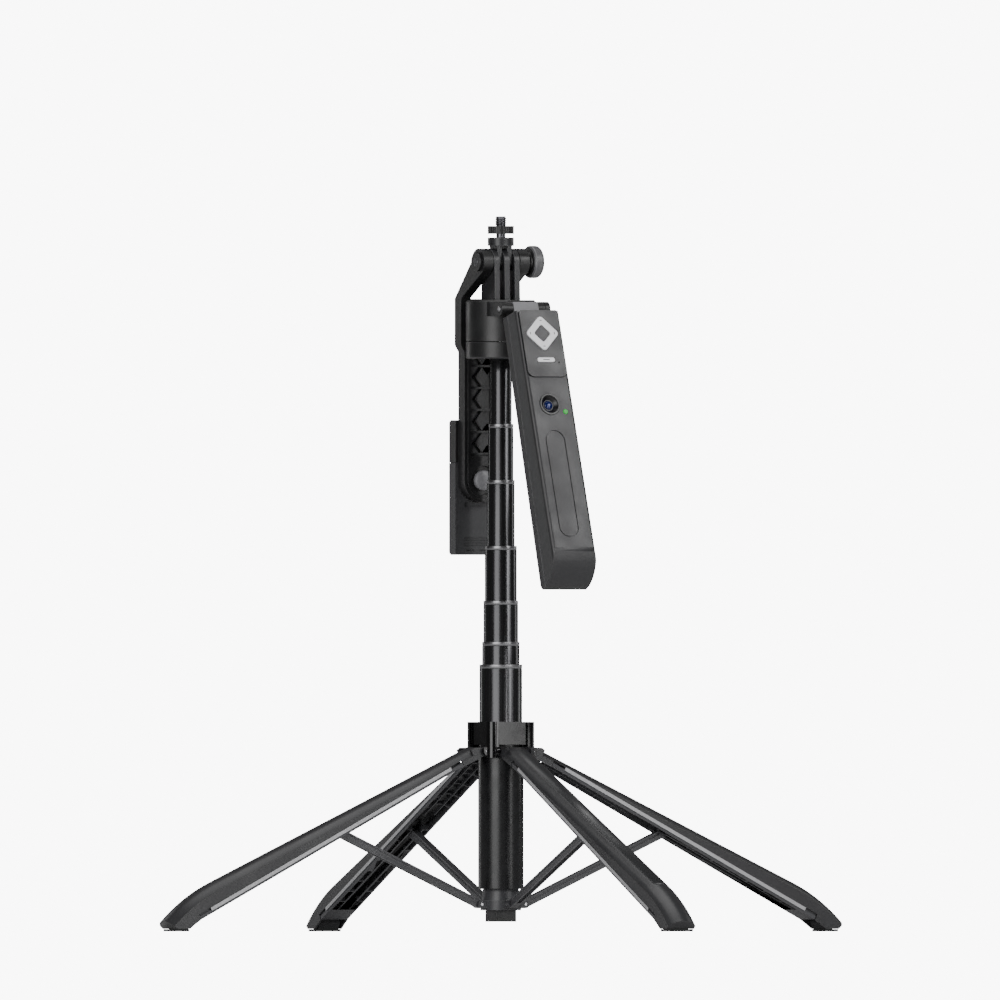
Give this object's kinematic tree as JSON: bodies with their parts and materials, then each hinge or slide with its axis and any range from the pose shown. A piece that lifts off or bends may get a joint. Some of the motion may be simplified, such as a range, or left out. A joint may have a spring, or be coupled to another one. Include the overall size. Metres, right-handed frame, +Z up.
{
  "type": "selfie stick",
  "caption": "Tabletop selfie stick and tripod: folding four-leg base, telescopic mast, panning head, tilting remote-control bar, phone arm with a spring clamp, and a camera fork.",
  "frame": {"origin": "on the mast's axis, on the surface that the four toes stand on", "axes": "+Z up the mast, -Y towards the front where the remote bar hangs, +X to the right where the thumb knob is; the open legs lie along +X, +Y, -X and -Y"},
  "size_m": [0.4306, 0.4306, 0.4005],
  "materials": {
    "collar_black": "gloss black ABS",
    "post_black": "gloss black anodised tube",
    "tube_grey": "dark grey anodised tube with a polished lip",
    "leg_grey": "satin dark grey glass-filled nylon",
    "rail_grey": "mid-grey nylon",
    "foot_rubber": "black rubber",
    "strut_grey": "satin grey powder coat",
    "spider_grey": "mid-grey nylon",
    "plug_black": "satin black",
    "steel": "bright zinc-plated steel",
    "head_black": "satin black ABS",
    "fork_grey": "satin dark grey nylon",
    "thread_steel": "nickel-plated steel screw",
    "knob_grey": "satin dark grey ABS",
    "pad_rubber": "dark grey silicone rubber",
    "bar_grey": "satin dark grey ABS",
    "block_grey": "satin mid-grey ABS",
    "key_silver": "satin silver keys",
    "key_dark": "satin dark grey key",
    "lens_glass": "coated lens glass",
    "led_green": "translucent green",
    "board_green": "printed circuit board",
    "cell_steel": "coin cell"
  },
  "bodies": {
    "hub": {"hub_collar": "collar_black", "center_post": "post_black", "spider": "spider_grey", "base_plug": "plug_black", "pivot_pins": "steel"},
    "leg_right": {"leg_shell_right": "leg_grey", "leg_rail_right": "rail_grey", "foot_pad_right": "foot_rubber"},
    "strut_right": {"strut_right": "strut_grey"},
    "leg_back": {"leg_shell_back": "leg_grey", "leg_rail_back": "rail_grey", "foot_pad_back": "foot_rubber"},
    "strut_back": {"strut_back": "strut_grey"},
    "leg_left": {"leg_shell_left": "leg_grey", "leg_rail_left": "rail_grey", "foot_pad_left": "foot_rubber"},
    "strut_left": {"strut_left": "strut_grey"},
    "leg_front": {"leg_shell_front": "leg_grey", "leg_rail_front": "rail_grey", "foot_pad_front": "foot_rubber"},
    "strut_front": {"strut_front": "strut_grey"},
    "tube_1": {"tube_1": "tube_grey"},
    "tube_2": {"tube_2": "tube_grey"},
    "tube_3": {"tube_3": "tube_grey"},
    "tube_4": {"tube_4": "tube_grey"},
    "tube_5": {"tube_5": "tube_grey"},
    "tube_6": {"tube_6": "tube_grey"},
    "tube_7": {"tube_7": "tube_grey", "head_ring": "head_black", "pan_bolt": "steel"},
    "head": {"head_body": "head_black", "camera_fork": "fork_grey", "hinge_pin": "steel"},
    "adapter": {"camera_adapter": "fork_grey", "stud_screw": "thread_steel"},
    "lock_disc": {"lock_disc": "head_black"},
    "thumb": {"thumb_bolt": "thread_steel", "thumb_knob": "knob_grey"},
    "arm": {"arm": "head_black", "axle_nut": "head_black"},
    "clamp": {"clamp_base": "head_black", "clamp_pad_lower": "pad_rubber", "clamp_screw": "thread_steel", "clamp_springs": "steel"},
    "jaw": {"clamp_jaw": "head_black", "clamp_pad_upper": "pad_rubber"},
    "bar": {"handle_front": "bar_grey", "handle_back": "bar_grey", "hinge_block": "block_grey", "lens_bezel": "head_black", "lens_glass": "lens_glass", "status_led": "led_green"},
    "remote": {"remote_body": "bar_grey", "remote_board": "board_green", "remote_cell": "cell_steel"},
    "pad_key": {"dpad_ring": "key_silver"},
    "middle_key": {"center_key": "key_dark"},
    "camera_key": {"shutter_key": "key_silver"}
  },
  "joints": [
    {"name": "leg_right_fold", "type": "hinge", "parent": "hub", "child": "leg_right", "pos_m": [0.0144, 0, 0.101], "axis": [0, -1, 0], "range_deg": [-62.8, 0]},
    {"name": "strut_right_fold", "type": "hinge", "parent": "hub", "child": "strut_right", "pos_m": [0.014, 0, 0.0152], "axis": [0, -1, 0], "range_deg": [-112.46, 0]},
    {"name": "leg_back_fold", "type": "hinge", "parent": "hub", "child": "leg_back", "pos_m": [0, 0.0144, 0.101], "axis": [1, 0, 0], "range_deg": [-62.8, 0]},
    {"name": "strut_back_fold", "type": "hinge", "parent": "hub", "child": "strut_back", "pos_m": [0, 0.014, 0.0152], "axis": [1, 0, 0], "range_deg": [-112.46, 0]},
    {"name": "leg_left_fold", "type": "hinge", "parent": "hub", "child": "leg_left", "pos_m": [-0.0144, 0, 0.101], "axis": [0, 1, 0], "range_deg": [-62.8, 0]},
    {"name": "strut_left_fold", "type": "hinge", "parent": "hub", "child": "strut_left", "pos_m": [-0.014, 0, 0.0152], "axis": [0, 1, 0], "range_deg": [-112.46, 0]},
    {"name": "leg_front_fold", "type": "hinge", "parent": "hub", "child": "leg_front", "pos_m": [0, -0.0144, 0.101], "axis": [-1, 0, 0], "range_deg": [-62.8, 0]},
    {"name": "strut_front_fold", "type": "hinge", "parent": "hub", "child": "strut_front", "pos_m": [0, -0.014, 0.0152], "axis": [-1, 0, 0], "range_deg": [-112.46, 0]},
    {"name": "tube_1_slide", "type": "slide", "parent": "hub", "child": "tube_1", "axis": [0, 0, 1], "range_m": [-0.0291, 0.0365]},
    {"name": "tube_2_slide", "type": "slide", "parent": "tube_1", "child": "tube_2", "axis": [0, 0, 1], "range_m": [-0.0097, 0.0589]},
    {"name": "tube_3_slide", "type": "slide", "parent": "tube_2", "child": "tube_3", "axis": [0, 0, 1], "range_m": [-0.02, 0.0516]},
    {"name": "tube_4_slide", "type": "slide", "parent": "tube_3", "child": "tube_4", "axis": [0, 0, 1], "range_m": [-0.0277, 0.0469]},
    {"name": "tube_5_slide", "type": "slide", "parent": "tube_4", "child": "tube_5", "axis": [0, 0, 1], "range_m": [-0.0339, 0.0437]},
    {"name": "tube_6_slide", "type": "slide", "parent": "tube_5", "child": "tube_6", "axis": [0, 0, 1], "range_m": [-0.0284, 0.0522]},
    {"name": "tube_7_slide", "type": "slide", "parent": "tube_6", "child": "tube_7", "axis": [0, 0, 1], "range_m": [-0.0334, 0.0502]},
    {"name": "head_pan", "type": "hinge", "parent": "tube_7", "child": "head", "pos_m": [0, 0, 0.33035], "axis": [0, 0, 1], "continuous": true},
    {"name": "bar_tilt", "type": "hinge", "parent": "head", "child": "bar", "pos_m": [0, -0.0261, 0.3486], "axis": [-1, 0, 0], "range_deg": [-16.4, 73.6]},
    {"name": "remote_slide", "type": "slide", "parent": "bar", "child": "remote", "axis": [0, -0.3097, -0.9508], "range_m": [-0.039, 0]},
    {"name": "pad_key_press", "type": "slide", "parent": "remote", "child": "pad_key", "axis": [0, 0.9508, -0.3097], "range_m": [0, 0.0006], "stiffness_N_per_m": 1200, "springref_m": -0.0008},
    {"name": "middle_key_press", "type": "slide", "parent": "remote", "child": "middle_key", "axis": [0, 0.9508, -0.3097], "range_m": [0, 0.0006], "stiffness_N_per_m": 1200, "springref_m": -0.0008},
    {"name": "camera_key_press", "type": "slide", "parent": "remote", "child": "camera_key", "axis": [0, 0.9508, -0.3097], "range_m": [0, 0.0006], "stiffness_N_per_m": 1200, "springref_m": -0.0008},
    {"name": "adapter_tilt", "type": "hinge", "parent": "head", "child": "adapter", "pos_m": [0, 0, 0.3749], "axis": [1, 0, 0], "range_deg": [-90, 90]},
    {"name": "lock_disc_turn", "type": "hinge", "parent": "adapter", "child": "lock_disc", "pos_m": [0, 0, 0.39285], "axis": [0, 0, 1], "continuous": true},
    {"name": "thumb_turn", "type": "hinge", "parent": "head", "child": "thumb", "pos_m": [0.02, 0, 0.3749], "axis": [1, 0, 0], "continuous": true},
    {"name": "arm_swing", "type": "hinge", "parent": "head", "child": "arm", "pos_m": [0, 0, 0.3749], "axis": [-1, 0, 0], "range_deg": [-180, 0]},
    {"name": "clamp_swivel", "type": "hinge", "parent": "arm", "child": "clamp", "pos_m": [0, 0.024, 0.2526], "axis": [0, 1, 0], "range_deg": [-90, 90]},
    {"name": "jaw_slide", "type": "slide", "parent": "clamp", "child": "jaw", "axis": [0, 0, 1], "range_m": [0, 0.028], "stiffness_N_per_m": 180, "springref_m": -0.02, "deforming": ["clamp_springs"]}
  ],
  "couplings": [
    {"joint": "strut_right_fold", "follows": "leg_right_fold", "ratio": 1.7906},
    {"joint": "strut_back_fold", "follows": "leg_back_fold", "ratio": 1.7906},
    {"joint": "strut_left_fold", "follows": "leg_left_fold", "ratio": 1.7906},
    {"joint": "strut_front_fold", "follows": "leg_front_fold", "ratio": 1.7906}
  ]
}
